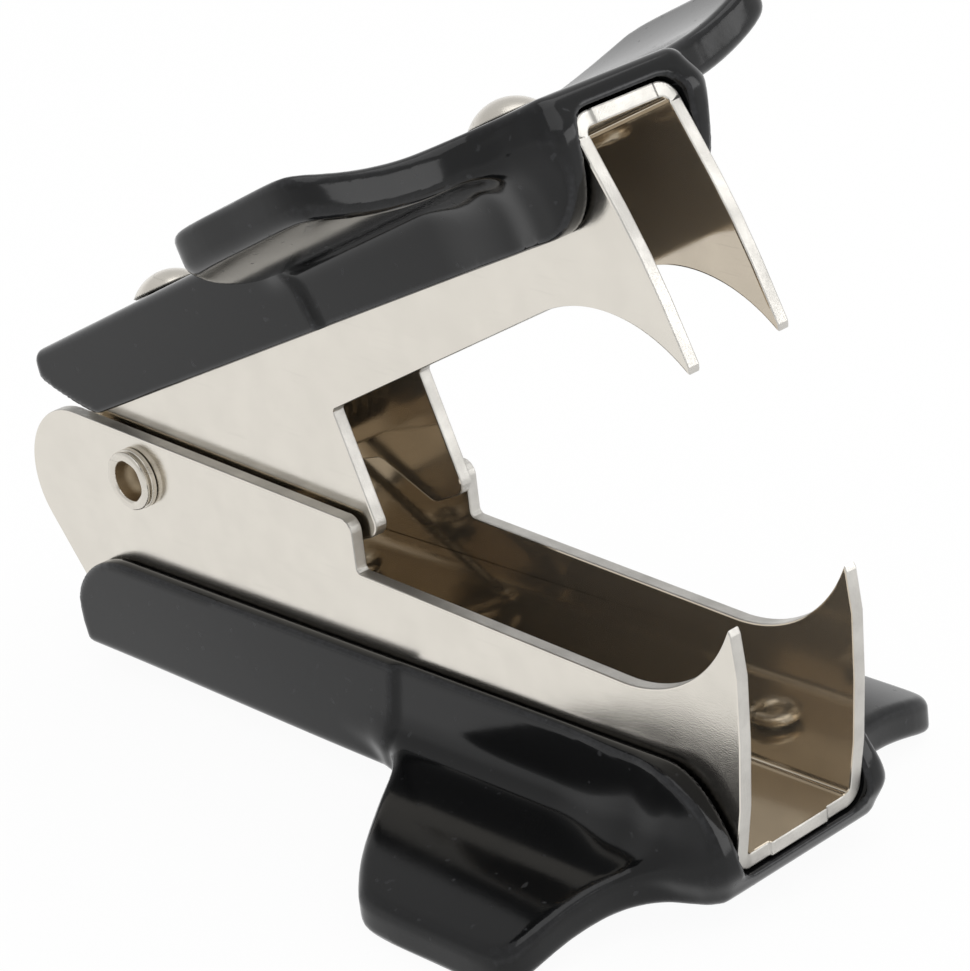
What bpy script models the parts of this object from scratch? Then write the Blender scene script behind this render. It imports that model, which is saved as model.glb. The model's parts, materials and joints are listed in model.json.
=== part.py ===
"""Jaw staple remover: two nested steel jaws on a tubular pivot rivet, opened by a torsion spring,
each with a black moulded finger grip held by two tubular rivets.

Each jaw is modelled in its own jaw frame: the pivot axis is the origin, +X runs forward to the
fangs, +Z is up, and the "back" of a jaw is the side that carries its grip.  Two empties place
the jaw frames: the stance empty holds the lower jaw as it rests, and the upper jaw's empty sits
on the pivot axis and holds it open.
"""
import math

import bmesh
import bpy
from mathutils import Matrix, Vector

MM = 0.001

# Overall
LOWER_REACH = 48.6 * MM         # pivot axis to the front end of the lower jaw's floor
UPPER_REACH = LOWER_REACH + 0.2 * MM    # to the front end of the upper jaw's roof, so the fangs pass
LOWER_WIDTH = 10.2 * MM         # across the lower jaw's walls
SHEET = 0.9 * MM                # jaw steel
SIDE_CLEARANCE = 0.3 * MM       # between the nested jaw walls, and between a jaw and its grip
LOWER_DEPTH = 12.25 * MM        # pivot axis to the lower jaw's back, at its front end
UPPER_DEPTH = 10.1 * MM
LOWER_TAPER = math.radians(0.4)     # the back runs towards the pivot axis to the rear
UPPER_TAPER = math.radians(2.0)
OPEN_ANGLE = math.radians(24.0)     # between the jaws with the spring relaxed

# Steel bends and fangs
BEND_OUTSIDE = 1.3 * MM
BEND_INSIDE = 0.45 * MM
LOWER_FANG_RADIUS = 8.8 * MM        # hollow behind the fang
UPPER_FANG_RADIUS = 9.4 * MM
FANG_TIP = 0.3 * MM                 # blunt width left on a fang's point
LOWER_FANG_X = 1.0 * MM             # point of the fang ahead of the floor's front end
UPPER_FANG_X = 1.1 * MM

# Lower jaw's side plates
EAR_RADIUS = 5.0 * MM
EAR_CENTRE = (-6.0 * MM, -1.9 * MM)
EAR_TANGENT = math.radians(216)     # where the round ear runs into its sloping rear edge
STEP_X = 20.0 * MM                  # front edge of the tall ear plates
STEP_TOP = 2.0 * MM
STEP_RADIUS = 0.9 * MM
LOWER_EDGE_REAR = -1.5 * MM         # height of the side wall's edge at the step
LOWER_EDGE_FRONT = -2.55 * MM       # and where the fang begins
LOWER_HOLLOW_X = LOWER_REACH - 7.1 * MM   # centre of the hollow behind the fang

# Upper jaw's side plates
LEG_FRONT = STEP_X                  # the legs close in line with the lower jaw's step
LEG_WIDTH = 3.6 * MM
LEG_BOTTOM = -7.9 * MM
LEG_RADIUS = 0.9 * MM
LEG_ARCH = (13.0 * MM, -3.3 * MM)   # crown of the arch between leg and pivot ear
UPPER_EAR_RADIUS = 3.9 * MM
UPPER_REAR = -4.0 * MM
UPPER_EDGE_REAR = -0.1 * MM
UPPER_EDGE_FRONT = 1.15 * MM
UPPER_HOLLOW_X = UPPER_REACH - 7.5 * MM

# Pivot rivet
PIVOT_RADIUS = 1.35 * MM
PIVOT_BORE = 0.85 * MM
PIVOT_FIT = 0.2 * MM                # radial, shank to jaw holes
PIVOT_FLARE = 1.85 * MM             # rolled end
PIVOT_HEAD = 2.3 * MM
PIVOT_STANDOFF = 0.85 * MM          # how far each end stands out of the lower jaw

# Torsion spring
WIRE = 0.8 * MM
COIL_RADIUS = 2.5 * MM              # to the wire's centre
COIL_PITCH = 0.92 * MM
COIL_TURNS = 4
COIL_STEPS = 16                     # points on each turn
LEG_REACH = 15.0 * MM               # where each leg touches its jaw's back, from the pivot
LEG_HOOK = 1.0 * MM                 # turned-up end of a leg

# Grips
GRIP_WALL = 0.95 * MM
GRIP_BACK = 1.4 * MM                # from the jaw's back to the grip's outer face
WING_SPAN = 36.2 * MM
WING_THICKNESS = 2.4 * MM
WING_CAMBER = 1.7 * MM              # how far the tips bend away from the jaws
CAMBER_START = 9.5 * MM             # from the middle plane
WING_ROOT_X = 22.0 * MM             # where the sides start to flare
WING_REAR_X = LOWER_REACH - 15.6 * MM   # rear corner of the tip
WING_FRONT_X = LOWER_REACH - 4.6 * MM
FLARE_EASE = 0.85                   # share of the flare that eases in and out, the rest is straight
WING_FILLET = 3.0 * MM
TIP_ROUND = 0.9 * MM
BACK_ROUND = 0.8 * MM               # long rounded edges of the grip's back
REAR_DRAFT = 0.5 * MM               # how much narrower the back is at the rear end
LOWER_SKIRT = 6.1 * MM              # pivot axis to the skirt's edge, towards the back
UPPER_SKIRT = 4.5 * MM
LOWER_GRIP_REAR = -7.6 * MM
UPPER_GRIP_REAR = -6.4 * MM
GRIP_LENGTH_AHEAD = 0.1 * MM        # grip's front end beyond the jaw's back
FRONT_ROUND = 0.7 * MM              # front edge of the grip's back
PAD_DEPTH = 0.12 * MM               # worn flat where a wing tip rests

# Grip rivets
RIVET_REAR_X = 3.5 * MM
RIVET_FRONT_X = LOWER_REACH - 9.0 * MM
RIVET_SHANK = 1.1 * MM
RIVET_BORE = 0.65 * MM
RIVET_FIT = 0.2 * MM
RIVET_HEAD = 2.2 * MM
RIVET_DOME = 1.1 * MM
RIVET_CLINCH = 1.65 * MM
RIVET_CLINCH_HEIGHT = 0.75 * MM
RIVET_SEAT = 0.2 * MM               # under the head and under the rolled end
TURN_STEPS = 24

LOWER_HALF = LOWER_WIDTH / 2
UPPER_HALF = LOWER_HALF - SHEET - SIDE_CLEARANCE
FAR = 80 * MM                       # longer than anything it cuts


# ---------------------------------------------------------------- scene and materials
for old in list(bpy.data.objects):
    bpy.data.objects.remove(old, do_unlink=True)

parts = bpy.data.collections.new("staple_remover")
cutters = bpy.data.collections.new("cutters")
bpy.context.scene.collection.children.link(parts)
bpy.context.scene.collection.children.link(cutters)


def material(name, colour, roughness, metallic):
    made = bpy.data.materials.new(name)
    made.use_nodes = True
    shader = made.node_tree.nodes["Principled BSDF"]
    shader.inputs["Base Color"].default_value = (*colour, 1)
    shader.inputs["Roughness"].default_value = roughness
    shader.inputs["Metallic"].default_value = metallic
    return made


jaw_steel = material("nickel_plated_steel", (0.80, 0.76, 0.70), 0.28, 1.0)
rivet_steel = material("nickel_plated_rivet", (0.76, 0.74, 0.70), 0.25, 1.0)
spring_steel = material("spring_wire", (0.62, 0.60, 0.57), 0.30, 1.0)
grip_plastic = material("black_plastic", (0.030, 0.031, 0.034), 0.30, 0.0)


# ---------------------------------------------------------------- tools
def arc(centre, radius, start, end, steps):
    """Points on an arc in the X-Z plane, angles from +X towards +Z."""
    turn = (end - start) / steps
    return [(centre[0] + radius * math.cos(start + turn * i),
             centre[1] + radius * math.sin(start + turn * i)) for i in range(steps + 1)]


def rounded(corner, before, after, radius, steps=4):
    """An arc of this radius in the corner between the lines to the points before and after."""
    corner = Vector(corner)
    to_before = (Vector(before) - corner).normalized()
    to_after = (Vector(after) - corner).normalized()
    half = to_before.angle(to_after) / 2
    setback = radius / math.tan(half)
    start = corner + to_before * setback
    end = corner + to_after * setback
    centre = corner + (to_before + to_after).normalized() * (radius / math.sin(half))
    points = []
    for i in range(steps + 1):
        chord = start.lerp(end, i / steps)
        points.append(tuple(centre + (chord - centre).normalized() * radius))
    return points


def outline_solid(name, outline, half_thickness, collection=cutters):
    """A closed mesh: a flat outline in the X-Z plane, thickened evenly to both sides along Y."""
    curve = bpy.data.curves.new(name, "CURVE")
    curve.dimensions = "2D"
    curve.fill_mode = "BOTH"
    curve.extrude = half_thickness
    spline = curve.splines.new("POLY")
    spline.points.add(len(outline) - 1)
    for point, (x, z) in zip(spline.points, outline):
        point.co = (x, z, 0, 1)
    spline.use_cyclic_u = True
    drawn = bpy.data.objects.new(name + "_outline", curve)
    cutters.objects.link(drawn)
    bpy.context.view_layer.update()
    flat = drawn.evaluated_get(bpy.context.evaluated_depsgraph_get())
    mesh = bpy.data.meshes.new_from_object(flat)
    bpy.data.objects.remove(drawn)
    bm = bmesh.new()
    bm.from_mesh(mesh)
    bmesh.ops.remove_doubles(bm, verts=bm.verts, dist=1e-7)
    bmesh.ops.rotate(bm, verts=bm.verts, cent=(0, 0, 0), matrix=Matrix.Rotation(math.pi / 2, 3, "X"))
    bmesh.ops.recalc_face_normals(bm, faces=bm.faces)
    bm.to_mesh(mesh)
    bm.free()
    solid = bpy.data.objects.new(name, mesh)
    collection.objects.link(solid)
    return solid


def as_cutter(solid):
    solid.hide_render = True
    solid.display_type = "WIRE"
    return solid


def combine(target, tool, operation):
    modifier = target.modifiers.new(tool.name, "BOOLEAN")
    modifier.operation = operation
    modifier.object = as_cutter(tool)
    modifier.solver = "EXACT"


def cylinder(name, radius, length, location, rotation=(0, 0, 0)):
    bpy.ops.mesh.primitive_cylinder_add(vertices=TURN_STEPS * 2, radius=radius, depth=length,
                                        location=location, rotation=rotation)
    made = bpy.context.object
    made.name = name
    for collection in list(made.users_collection):
        collection.objects.unlink(made)
    cutters.objects.link(made)
    return made


def finish(part, finish_material, parent, smooth=False):
    """Put a part under its jaw's empty, with its material."""
    for collection in list(part.users_collection):
        collection.objects.unlink(part)
    parts.objects.link(part)
    part.data.materials.clear()
    part.data.materials.append(finish_material)
    part.parent = parent
    if smooth:
        part.data.shade_smooth()
        part.data.set_sharp_from_angle(angle=math.radians(35))


# ---------------------------------------------------------------- jaw frames
class Jaw:
    """Sizes of one jaw that its grip, rivets and spring share."""

    def __init__(self, name, side, half_width, reach, depth, taper, skirt, grip_rear):
        self.name = name
        self.side = side            # -1 where the back faces down, +1 where it faces up
        self.half_width = half_width
        self.reach = reach
        self.depth = depth
        self.taper = taper
        self.skirt = skirt
        self.grip_rear = grip_rear
        self.empty = bpy.data.objects.new(name + "_jaw_frame", None)
        parts.objects.link(self.empty)

    def back(self, x):
        """Distance from the pivot axis to the jaw's outer back, at x."""
        return self.depth - (self.reach - x) * math.tan(self.taper)


lower = Jaw("lower", -1, LOWER_HALF, LOWER_REACH, LOWER_DEPTH, LOWER_TAPER,
            LOWER_SKIRT, LOWER_GRIP_REAR)
upper = Jaw("upper", 1, UPPER_HALF, UPPER_REACH, UPPER_DEPTH, UPPER_TAPER,
            UPPER_SKIRT, UPPER_GRIP_REAR)
upper.empty.parent = lower.empty
upper.empty.rotation_euler = (0, -OPEN_ANGLE, 0)


# ---------------------------------------------------------------- steel jaws
def channel_rail(jaw):
    """The bent U section of a jaw, running straight along its tapered back."""
    outside = jaw.half_width
    inside = outside - SHEET
    tall = FAR / 2
    half = [(outside, tall)]
    half += rounded((outside, 0), (outside, tall), (0, 0), BEND_OUTSIDE)
    inner = rounded((inside, SHEET), (inside, tall), (0, SHEET), BEND_INSIDE)
    section = half + [(-y, z) for y, z in reversed(half)]
    section += [(-inside, tall)] + [(-y, z) for y, z in inner] + list(reversed(inner)) + [(inside, tall)]
    rail = outline_solid(jaw.name + "_channel", section, FAR)
    turn = Matrix.Rotation(math.pi / 2, 4, "Z")
    if jaw.side > 0:
        turn = Matrix.Rotation(math.pi, 4, "X") @ turn
    tilt = Matrix.Rotation(-jaw.side * jaw.taper, 4, "Y")
    place = Matrix.Translation((jaw.reach, 0, jaw.side * jaw.depth))
    rail.data.transform(place @ tilt @ turn)
    return rail


def lower_jaw_outline():
    rear = arc(EAR_CENTRE, EAR_RADIUS, math.pi / 2, EAR_TANGENT, 14)
    ear_end = rear[-1]
    drop = (ear_end[1] + lower.back(0)) / -math.cos(EAR_TANGENT)
    floor_rear = (ear_end[0] - math.sin(EAR_TANGENT) * drop, -lower.back(0) - 2 * MM)
    tip_angle = -math.acos((LOWER_REACH + LOWER_FANG_X - LOWER_HOLLOW_X) / LOWER_FANG_RADIUS)
    hollow_centre = (LOWER_HOLLOW_X, LOWER_EDGE_FRONT + LOWER_FANG_RADIUS)
    fang = arc(hollow_centre, LOWER_FANG_RADIUS, -math.pi / 2, tip_angle, 10)
    tip = fang[-1]
    front = [(tip[0] + FANG_TIP, tip[1] - 0.3 * MM), (LOWER_REACH + 1.45 * MM, 0),
             (LOWER_REACH + 1.2 * MM, -4 * MM), (LOWER_REACH + 0.8 * MM, -8 * MM),
             (LOWER_REACH, -LOWER_DEPTH - 2 * MM)]
    step_foot = (STEP_X, LOWER_EDGE_REAR)
    step = rounded((STEP_X, STEP_TOP), EAR_CENTRE, step_foot, STEP_RADIUS)
    return rear + [floor_rear] + list(reversed(front)) + list(reversed(fang)) + [step_foot] + step[::-1]


def upper_jaw_outline():
    roof = UPPER_DEPTH + 2 * MM
    tip_angle = math.acos((UPPER_REACH + UPPER_FANG_X - UPPER_HOLLOW_X) / UPPER_FANG_RADIUS)
    hollow_centre = (UPPER_HOLLOW_X, UPPER_EDGE_FRONT - UPPER_FANG_RADIUS)
    fang = arc(hollow_centre, UPPER_FANG_RADIUS, math.pi / 2, tip_angle, 10)
    tip = fang[-1]
    front = [(tip[0] + FANG_TIP, tip[1] + 0.3 * MM), (UPPER_REACH + 0.95 * MM, 0.5 * MM),
             (UPPER_REACH + 0.3 * MM, 6 * MM), (UPPER_REACH, 9 * MM), (UPPER_REACH, roof)]
    leg_top = (LEG_FRONT, UPPER_EDGE_REAR)
    leg_back = LEG_FRONT - LEG_WIDTH
    toe = (LEG_FRONT - 0.4 * MM, LEG_BOTTOM)
    heel = (leg_back, LEG_BOTTOM)
    shin = (leg_back - 1.9 * MM, LEG_BOTTOM + 3.1 * MM)
    leg = rounded(toe, leg_top, heel, LEG_RADIUS) + rounded(heel, toe, shin, LEG_RADIUS)
    leg += [shin, LEG_ARCH, (LEG_ARCH[0] / 2, -0.9 * UPPER_EAR_RADIUS)]
    ear = arc((0, 0), UPPER_EAR_RADIUS, math.radians(-80), -math.pi, 10)
    return ([(UPPER_REAR, roof)] + front[::-1] + fang[::-1] + [leg_top] + leg + ear
            + [(UPPER_REAR, 0.5 * MM)])


def make_jaw(jaw, outline):
    solid = outline_solid(jaw.name + "_jaw", outline, FAR / 4)
    combine(solid, channel_rail(jaw), "INTERSECT")
    hole = cylinder(jaw.name + "_pivot_hole", PIVOT_RADIUS + PIVOT_FIT, FAR, (0, 0, 0),
                    (math.pi / 2, 0, 0))
    combine(solid, hole, "DIFFERENCE")
    return solid


# ---------------------------------------------------------------- rivets
def turned(name, profile):
    """A solid of revolution about Z from an (r, z) profile that starts and ends on the axis."""
    mesh = bpy.data.meshes.new(name)
    points = [(r, 0, z) for r, z in profile]
    mesh.from_pydata(points, [(i, i + 1) for i in range(len(points) - 1)], [])
    made = bpy.data.objects.new(name, mesh)
    cutters.objects.link(made)
    screw = made.modifiers.new("turn", "SCREW")
    screw.axis = "Z"
    screw.steps = TURN_STEPS
    screw.render_steps = TURN_STEPS
    screw.use_merge_vertices = True
    screw.merge_threshold = 1e-6
    screw.use_smooth_shade = True
    return made


def rolled_end(shank, bore, flare, top, height, steps=6):
    """Outer side of a rivet's rolled end, from its shank up and over into its bore."""
    middle = (shank + flare) / 2 - (flare - shank) / 4
    radius_out = flare - middle
    radius_in = middle - bore
    points = [(flare - radius_out * 0.15, top - height), (flare, top - height * 0.7)]
    for i in range(1, steps + 1):
        angle = math.pi / 2 * i / steps
        points.append((middle + radius_out * math.cos(angle), top - height * 0.6 * (1 - math.sin(angle))))
    for i in range(1, steps + 1):
        angle = math.pi / 2 * i / steps
        points.append((middle - radius_in * math.sin(angle), top - height * 0.8 * (1 - math.cos(angle))))
    return points


def grip_rivet(jaw, place, x):
    """Domed head outside the grip, hollow shank through grip and steel, rolled over inside."""
    slope = math.cos(jaw.taper)
    head_under = (GRIP_BACK + RIVET_SEAT) * slope
    steel_inside = SHEET + RIVET_SEAT
    dome_radius = (RIVET_HEAD ** 2 + RIVET_DOME ** 2) / (2 * RIVET_DOME)
    dome_angle = math.asin(RIVET_HEAD / dome_radius)
    centre = head_under + RIVET_DOME - dome_radius
    dome = arc((0, centre), dome_radius, math.pi / 2, math.pi / 2 - dome_angle, 6)
    profile = [(max(r, 0), z) for r, z in dome]
    profile += [(RIVET_SHANK, head_under), (RIVET_SHANK, -steel_inside)]
    clinch = rolled_end(RIVET_SHANK, RIVET_BORE, RIVET_CLINCH, RIVET_CLINCH_HEIGHT, RIVET_CLINCH_HEIGHT)
    profile += [(r, -steel_inside - z) for r, z in clinch]
    profile += [(RIVET_BORE, -SHEET / 2), (0, -SHEET / 2)]
    made = turned(jaw.name + "_" + place + "_rivet", profile)
    made.location = (x, 0, jaw.side * jaw.back(x))
    upright = 0 if jaw.side > 0 else math.pi
    made.rotation_euler = (upright, jaw.side * -jaw.taper, 0)
    return made


def pivot_rivet():
    """Hollow rivet across both jaws: a low round head at +Y, a rolled end at -Y."""
    outside = LOWER_HALF + RIVET_SEAT
    end = LOWER_HALF + PIVOT_STANDOFF
    profile = [(0, end), (PIVOT_HEAD * 0.55, end - 0.05 * MM), (PIVOT_HEAD * 0.88, end - 0.22 * MM),
               (PIVOT_HEAD, outside + 0.12 * MM), (PIVOT_HEAD, outside),
               (PIVOT_RADIUS, outside), (PIVOT_RADIUS, -outside)]
    roll = rolled_end(PIVOT_RADIUS, PIVOT_BORE, PIVOT_FLARE, end - outside, end - outside)
    profile += [(r, -outside - z) for r, z in roll]
    profile += [(PIVOT_BORE, outside - 1 * MM), (0, outside - 1 * MM)]
    made = turned("pivot_rivet", profile)
    made.rotation_euler = (-math.pi / 2, 0, 0)
    return made


# ---------------------------------------------------------------- torsion spring
def spring_leg(coil_end, target, heading):
    """Straight wire from the coil's end to its tip, which turns along the jaw's back."""
    tip = (target[0] + LEG_HOOK, target[1], target[2] - heading * 0.25 * LEG_HOOK)
    run = [Vector(coil_end).lerp(Vector(target), i / 4) for i in range(1, 5)]
    return [tuple(point) for point in run] + [tip]


def torsion_spring():
    clear = SHEET + SIDE_CLEARANCE + WIRE / 2
    low = Vector((LEG_REACH, 0, -lower.back(LEG_REACH) + clear))
    high_in_jaw = Vector((LEG_REACH, 0, upper.back(LEG_REACH) - clear))
    high = Matrix.Rotation(-OPEN_ANGLE, 3, "Y") @ high_in_jaw

    def tangent_angle(point, turning):
        flat = math.atan2(point.z, point.x)
        reach = math.hypot(point.x, point.z)
        return flat + turning * math.acos(COIL_RADIUS / reach)

    start = tangent_angle(low, -1)
    end = tangent_angle(high, 1)
    sweep = end - start - 2 * math.pi * (COIL_TURNS + 1)
    steps = round(abs(sweep) / (2 * math.pi) * COIL_STEPS)
    half_length = COIL_PITCH * abs(sweep) / (4 * math.pi)
    coil = []
    for i in range(steps + 1):
        angle = start + sweep * i / steps
        coil.append((COIL_RADIUS * math.cos(angle), -half_length + 2 * half_length * i / steps,
                     COIL_RADIUS * math.sin(angle)))
    low.y = -half_length
    high.y = half_length
    path = spring_leg(coil[0], low, -1)[::-1] + coil + spring_leg(coil[-1], high, 1)
    curve = bpy.data.curves.new("torsion_spring", "CURVE")
    curve.dimensions = "3D"
    curve.bevel_depth = WIRE / 2
    curve.bevel_resolution = 2
    curve.use_fill_caps = True
    spline = curve.splines.new("POLY")
    spline.points.add(len(path) - 1)
    for point, place in zip(spline.points, path):
        point.co = (*place, 1)
    made = bpy.data.objects.new("torsion_spring", curve)
    cutters.objects.link(made)
    return made


# ---------------------------------------------------------------- grips
def smooth_step(value):
    value = min(max(value, 0), 1)
    return value * value * (3 - 2 * value)


def grip_side(jaw):
    return jaw.half_width + SIDE_CLEARANCE + GRIP_WALL


def wing_outline(jaw):
    """(x, half width) along one edge of a grip, seen from its back, rear to front."""
    side = grip_side(jaw)
    tip = WING_SPAN / 2
    front = jaw.reach + GRIP_LENGTH_AHEAD
    rear = jaw.grip_rear
    edge = [(rear, side), (rear + 0.8 * MM, side), (rear + 2.2 * MM, side), (rear + 4.2 * MM, side),
            (0.5 * RIVET_REAR_X, side), (WING_ROOT_X / 2, side), (WING_ROOT_X, side)]
    run = WING_REAR_X - WING_ROOT_X
    rise = tip - side
    edge += [(WING_ROOT_X + run * a, side + rise * (FLARE_EASE * smooth_step(a) + (1 - FLARE_EASE) * a))
             for a in (0.12, 0.28, 0.48, 0.68, 0.82, 0.93)]
    edge.append((WING_REAR_X + 0.1 * run, tip))
    edge += [((WING_REAR_X + WING_FRONT_X) / 2, tip), (WING_FRONT_X - 2.2 * MM, tip - 0.1 * MM),
             (WING_FRONT_X - 1.0 * MM, tip - 0.45 * MM), (WING_FRONT_X - 0.35 * MM, tip - 1.1 * MM),
             (WING_FRONT_X - 0.1 * MM, tip - 2.0 * MM), (WING_FRONT_X + 0.1 * MM, tip - 5.0 * MM),
             (WING_FRONT_X + 0.3 * MM, side + 3.2 * MM), (WING_FRONT_X + 0.7 * MM, side + 2.0 * MM),
             (WING_FRONT_X + 1.5 * MM, side + 1.2 * MM), (WING_FRONT_X + 2.6 * MM, side + 0.9 * MM)]
    edge += [(front - 1.0 * MM, side + 0.8 * MM), (front - 0.35 * MM, side + 0.55 * MM),
             (front, side + 0.15 * MM)]
    return edge


def skirt_edge(jaw, x, rear_run, rear_power, front_run, front_drop):
    """Distance from the pivot axis to the skirt's edge, at x, in the direction of the back."""
    back = jaw.back(x)
    edge = jaw.skirt
    behind = (jaw.grip_rear + rear_run - x) / rear_run
    if behind > 0:
        edge = back - (back - jaw.skirt) * max(1 - behind ** rear_power, 0) ** (1 / rear_power)
    ahead = (x - (jaw.reach + GRIP_LENGTH_AHEAD - front_run)) / front_run
    if ahead > 0:
        edge = jaw.skirt + front_drop * (1 - math.sqrt(max(1 - ahead ** 2, 0)))
    return min(edge, back - 0.4 * MM)


def grip_section(jaw, x, tip, skirt):
    """Half of the grip's outline at x, as (y, distance from the pivot axis), inside to outside."""
    back = jaw.back(x)
    inside = jaw.half_width + SIDE_CLEARANCE
    side = grip_side(jaw)
    roof = back + SIDE_CLEARANCE
    ahead = max(x - (jaw.reach + GRIP_LENGTH_AHEAD - FRONT_ROUND), 0)
    outer = back + GRIP_BACK - FRONT_ROUND + math.sqrt(FRONT_ROUND ** 2 - ahead ** 2)
    draft = REAR_DRAFT * smooth_step((WING_ROOT_X - x) / (WING_ROOT_X - jaw.grip_rear))
    wing = tip - side
    points = [(0, roof), (inside, roof), (inside, skirt), (side, skirt)]

    def camber(y):
        bend = max(y - CAMBER_START, 0) / (WING_SPAN / 2 - CAMBER_START)
        return WING_CAMBER * bend * bend

    if wing < 0.1 * MM:
        corner = side - draft
        round_off = min(BACK_ROUND, (outer - skirt) * 0.45)
        foot = outer - round_off
        points += [(side + (corner - side) * i / 7, skirt + (foot - skirt) * i / 7) for i in range(1, 7)]
        points += [(corner - round_off + round_off * math.cos(math.pi / 2 * i / 8),
                    foot + round_off * math.sin(math.pi / 2 * i / 8)) for i in range(9)]
        edge = corner - round_off
    else:
        fillet = min(WING_FILLET, wing * 0.6)
        under = outer + camber(side + fillet) - WING_THICKNESS
        blend_top = max(under - fillet, skirt + 0.3 * MM)
        reach = under - blend_top
        points += [(side + fillet * (1 - math.cos(math.pi / 2 * i / 3)),
                    blend_top + reach * math.sin(math.pi / 2 * i / 3)) for i in range(4)]
        tip_round = min(TIP_ROUND, wing * 0.3)
        start = side + fillet
        end = tip - tip_round
        points += [(start + (end - start) * i / 3,
                    outer + camber(start + (end - start) * i / 3) - WING_THICKNESS) for i in (1, 2)]
        low = outer + camber(tip) - WING_THICKNESS
        high = outer + camber(tip)
        for i in range(4):
            angle = math.pi / 2 * i / 3
            points.append((end + tip_round * math.sin(angle), low + tip_round * (1 - math.cos(angle))))
        points.append((tip, (low + high) / 2))
        for i in range(4):
            angle = math.pi / 2 * i / 3
            points.append((end + tip_round * math.cos(angle), high - tip_round * (1 - math.sin(angle))))
        edge = end
    points += [(edge * (1 - i / 5), outer + camber(edge * (1 - i / 5))) for i in range(1, 6)]
    return points


def close_end(bm, ring):
    """Fans across a section's end face, from its inside corners to its outside."""
    middle = len(ring) // 2
    for mirrored in (False, True):
        def at(i):
            return ring[-i % len(ring)] if mirrored else ring[i]
        for corner, first, last in ((2, 3, 9), (1, 9, 18), (0, 18, middle)):
            for i in range(first, last):
                bm.faces.new((at(corner), at(i), at(i + 1)))
        bm.faces.new((at(1), at(2), at(9)))
        bm.faces.new((at(0), at(1), at(18)))


def grip(jaw, rear_run, rear_power, front_run, front_drop):
    """The moulded grip, lofted through its sections from rear to front."""
    bm = bmesh.new()
    rings = []
    for x, tip in wing_outline(jaw):
        skirt = skirt_edge(jaw, x, rear_run, rear_power, front_run, front_drop)
        half = grip_section(jaw, x, tip, skirt)
        whole = half + [(-y, d) for y, d in half[-2:0:-1]]
        rings.append([bm.verts.new((x, y, jaw.side * d)) for y, d in whole])
    for ring, following in zip(rings, rings[1:]):
        for i in range(len(ring)):
            j = (i + 1) % len(ring)
            bm.faces.new((ring[i], ring[j], following[j], following[i]))
    for ring in (rings[0], rings[-1]):
        close_end(bm, ring)
    bmesh.ops.triangulate(bm, faces=bm.faces)
    bmesh.ops.recalc_face_normals(bm, faces=bm.faces)
    mesh = bpy.data.meshes.new(jaw.name + "_grip")
    bm.to_mesh(mesh)
    bm.free()
    made = bpy.data.objects.new(jaw.name + "_grip", mesh)
    cutters.objects.link(made)
    return made


# ---------------------------------------------------------------- assembly
for jaw, outline, grip_shape in ((lower, lower_jaw_outline(), (5.9 * MM, 2.0, 4.5 * MM, 5.0 * MM)),
                                 (upper, upper_jaw_outline(), (4.8 * MM, 1.1, 3.2 * MM, 3.6 * MM))):
    jaw_solid = make_jaw(jaw, outline)
    grip_solid = grip(jaw, *grip_shape)
    for place, x in (("rear", RIVET_REAR_X), ("front", RIVET_FRONT_X)):
        rivet = grip_rivet(jaw, place, x)
        hole = cylinder(rivet.name + "_hole", RIVET_SHANK + RIVET_FIT, 12 * MM, rivet.location,
                        rivet.rotation_euler)
        hole.parent = jaw.empty
        combine(jaw_solid, hole, "DIFFERENCE")
        combine(grip_solid, hole, "DIFFERENCE")
        finish(rivet, rivet_steel, jaw.empty)
    for tool in ("_channel", "_pivot_hole"):
        bpy.data.objects[jaw.name + tool].parent = jaw.empty
    finish(jaw_solid, jaw_steel, jaw.empty, smooth=True)
    finish(grip_solid, grip_plastic, jaw.empty, smooth=True)

finish(pivot_rivet(), rivet_steel, lower.empty)
finish(torsion_spring(), spring_steel, lower.empty)

# The stance: nose up, on the lower jaw's rear rivet and wing tips, origin under the middle.
wing_touch = (WING_REAR_X + 3 * WING_FRONT_X) / 4
wing_low = lower.back(wing_touch) + GRIP_BACK + WING_CAMBER - PAD_DEPTH
rivet_low = lower.back(RIVET_REAR_X) + GRIP_BACK + RIVET_SEAT + RIVET_DOME
rest_tilt = math.atan((wing_low - rivet_low) / (wing_touch - RIVET_REAR_X))
lower.empty.rotation_euler = (0, -rest_tilt, 0)
bpy.context.view_layer.update()


def corners(names):
    depsgraph = bpy.context.evaluated_depsgraph_get()
    for name in names:
        solid = bpy.data.objects[name].evaluated_get(depsgraph)
        mesh = solid.to_mesh()
        for vertex in mesh.vertices:
            yield solid.matrix_world @ vertex.co
        solid.to_mesh_clear()


everything = list(corners([part.name for part in parts.objects if part.type != "EMPTY"]))
lowest = min(point.z for point in corners(["lower_rear_rivet"]))
middle = (min(point.x for point in everything) + max(point.x for point in everything)) / 2
lower.empty.location = (-middle, 0, -lowest)
bpy.context.view_layer.update()

# Wing tips are flat where they touch the surface it lies on.
bpy.ops.mesh.primitive_cube_add(size=1, location=(0, 0, -FAR / 4))
ground = bpy.context.object
ground.name = "resting_surface"
ground.scale = (2 * FAR, 2 * FAR, FAR / 2)
for collection in list(ground.users_collection):
    collection.objects.unlink(ground)
cutters.objects.link(ground)
combine(bpy.data.objects["lower_grip"], ground, "DIFFERENCE")
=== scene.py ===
"""Jaw staple remover: two folded, nickel plated steel jaws nested on a hollow pivot rivet and
sprung open by a torsion spring, with black moulded finger grips held by tubular rivets.
"""
import json
import math

import bmesh
import bpy
import numpy as np
from mathutils import Matrix, Vector, noise


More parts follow.
